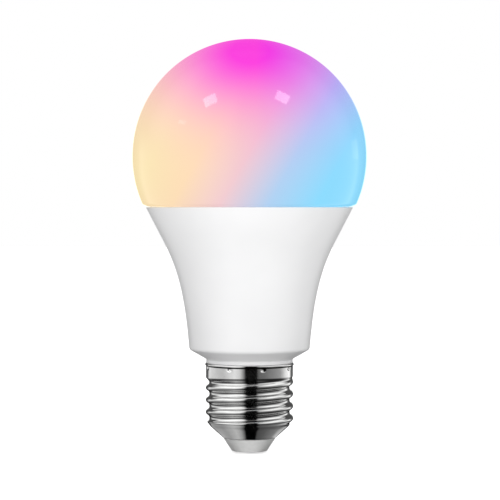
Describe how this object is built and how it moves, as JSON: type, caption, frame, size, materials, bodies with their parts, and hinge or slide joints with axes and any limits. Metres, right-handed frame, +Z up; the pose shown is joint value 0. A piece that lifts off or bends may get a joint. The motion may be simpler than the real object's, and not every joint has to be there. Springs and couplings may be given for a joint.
{
  "type": "smart light bulb",
  "caption": "Globe-shaped smart light bulb with a colour-changing diffuser, a flared white housing and a screw cap.",
  "frame": {"origin": "middle of the centre contact's flat face, at the foot of the screw cap", "axes": "+Z up the bulb's axis from the cap to the globe; -Y the side the driver board's components face, seen from the front"},
  "size_m": [0.07, 0.07, 0.1231],
  "materials": {
    "diffuser": "glossy milky polycarbonate, shown lit: peach on one side, magenta at the top, sky blue on the other side",
    "housing": "satin white moulding",
    "nickel_plate": "bright nickel plate",
    "insulator": "light grey moulding",
    "heat_sink": "drawn, dull",
    "silicone": "white silicone",
    "led_board": "white solder mask on an aluminium core",
    "thermal_pad": "grey filled silicone",
    "warm_led": "amber phosphor in a white package",
    "cool_led": "yellow phosphor in a white package",
    "rgb_led": "white package with a clear well",
    "steel": "zinc plated",
    "tinplate": "tinned sheet",
    "circuit_board": "green solder mask on glass fibre",
    "copper": "enamelled copper",
    "sleeve": "natural insulating plastic",
    "black_moulding": "black moulding compound",
    "ferrite": "dark sintered ferrite",
    "winding_tape": "yellow polyester tape",
    "capacitor_can": "shrunk sleeve over a can",
    "resistor_body": "green lacquer",
    "disc_coating": "blue epoxy coating",
    "live_insulation": "red insulation",
    "neutral_insulation": "black insulation"
  },
  "bodies": {
    "root": {"screw_shell": "nickel_plate", "base_insulator": "insulator", "centre_contact": "nickel_plate", "housing_shell": "housing", "heat_sink_cup": "heat_sink", "diffuser_globe": "diffuser", "globe_sealant": "silicone", "led_board": "led_board", "thermal_pad": "thermal_pad", "warm_led_1": "warm_led", "warm_led_2": "warm_led", "warm_led_3": "warm_led", "warm_led_4": "warm_led", "warm_led_5": "warm_led", "warm_led_6": "warm_led", "cool_led_1": "cool_led", "cool_led_2": "cool_led", "cool_led_3": "cool_led", "cool_led_4": "cool_led", "cool_led_5": "cool_led", "cool_led_6": "cool_led", "rgb_led_1": "rgb_led", "rgb_led_2": "rgb_led", "rgb_led_3": "rgb_led", "rgb_led_4": "rgb_led", "board_screw_1": "steel", "board_screw_2": "steel", "board_screw_3": "steel", "wifi_board": "circuit_board", "wifi_shield": "tinplate", "wifi_aerial": "copper", "driver_sleeve": "sleeve", "driver_board": "circuit_board", "pin_header": "black_moulding", "transformer_core": "ferrite", "transformer_bobbin": "black_moulding", "transformer_winding": "winding_tape", "output_capacitor": "capacitor_can", "input_capacitor": "capacitor_can", "filter_capacitor": "capacitor_can", "choke_core": "ferrite", "choke_winding": "copper", "fuse_resistor": "resistor_body", "varistor": "disc_coating", "safety_capacitor": "disc_coating", "bridge_rectifier": "black_moulding", "driver_ic": "black_moulding", "regulator_ic": "black_moulding", "live_wire": "live_insulation", "neutral_wire": "neutral_insulation"}
  },
  "joints": []
}
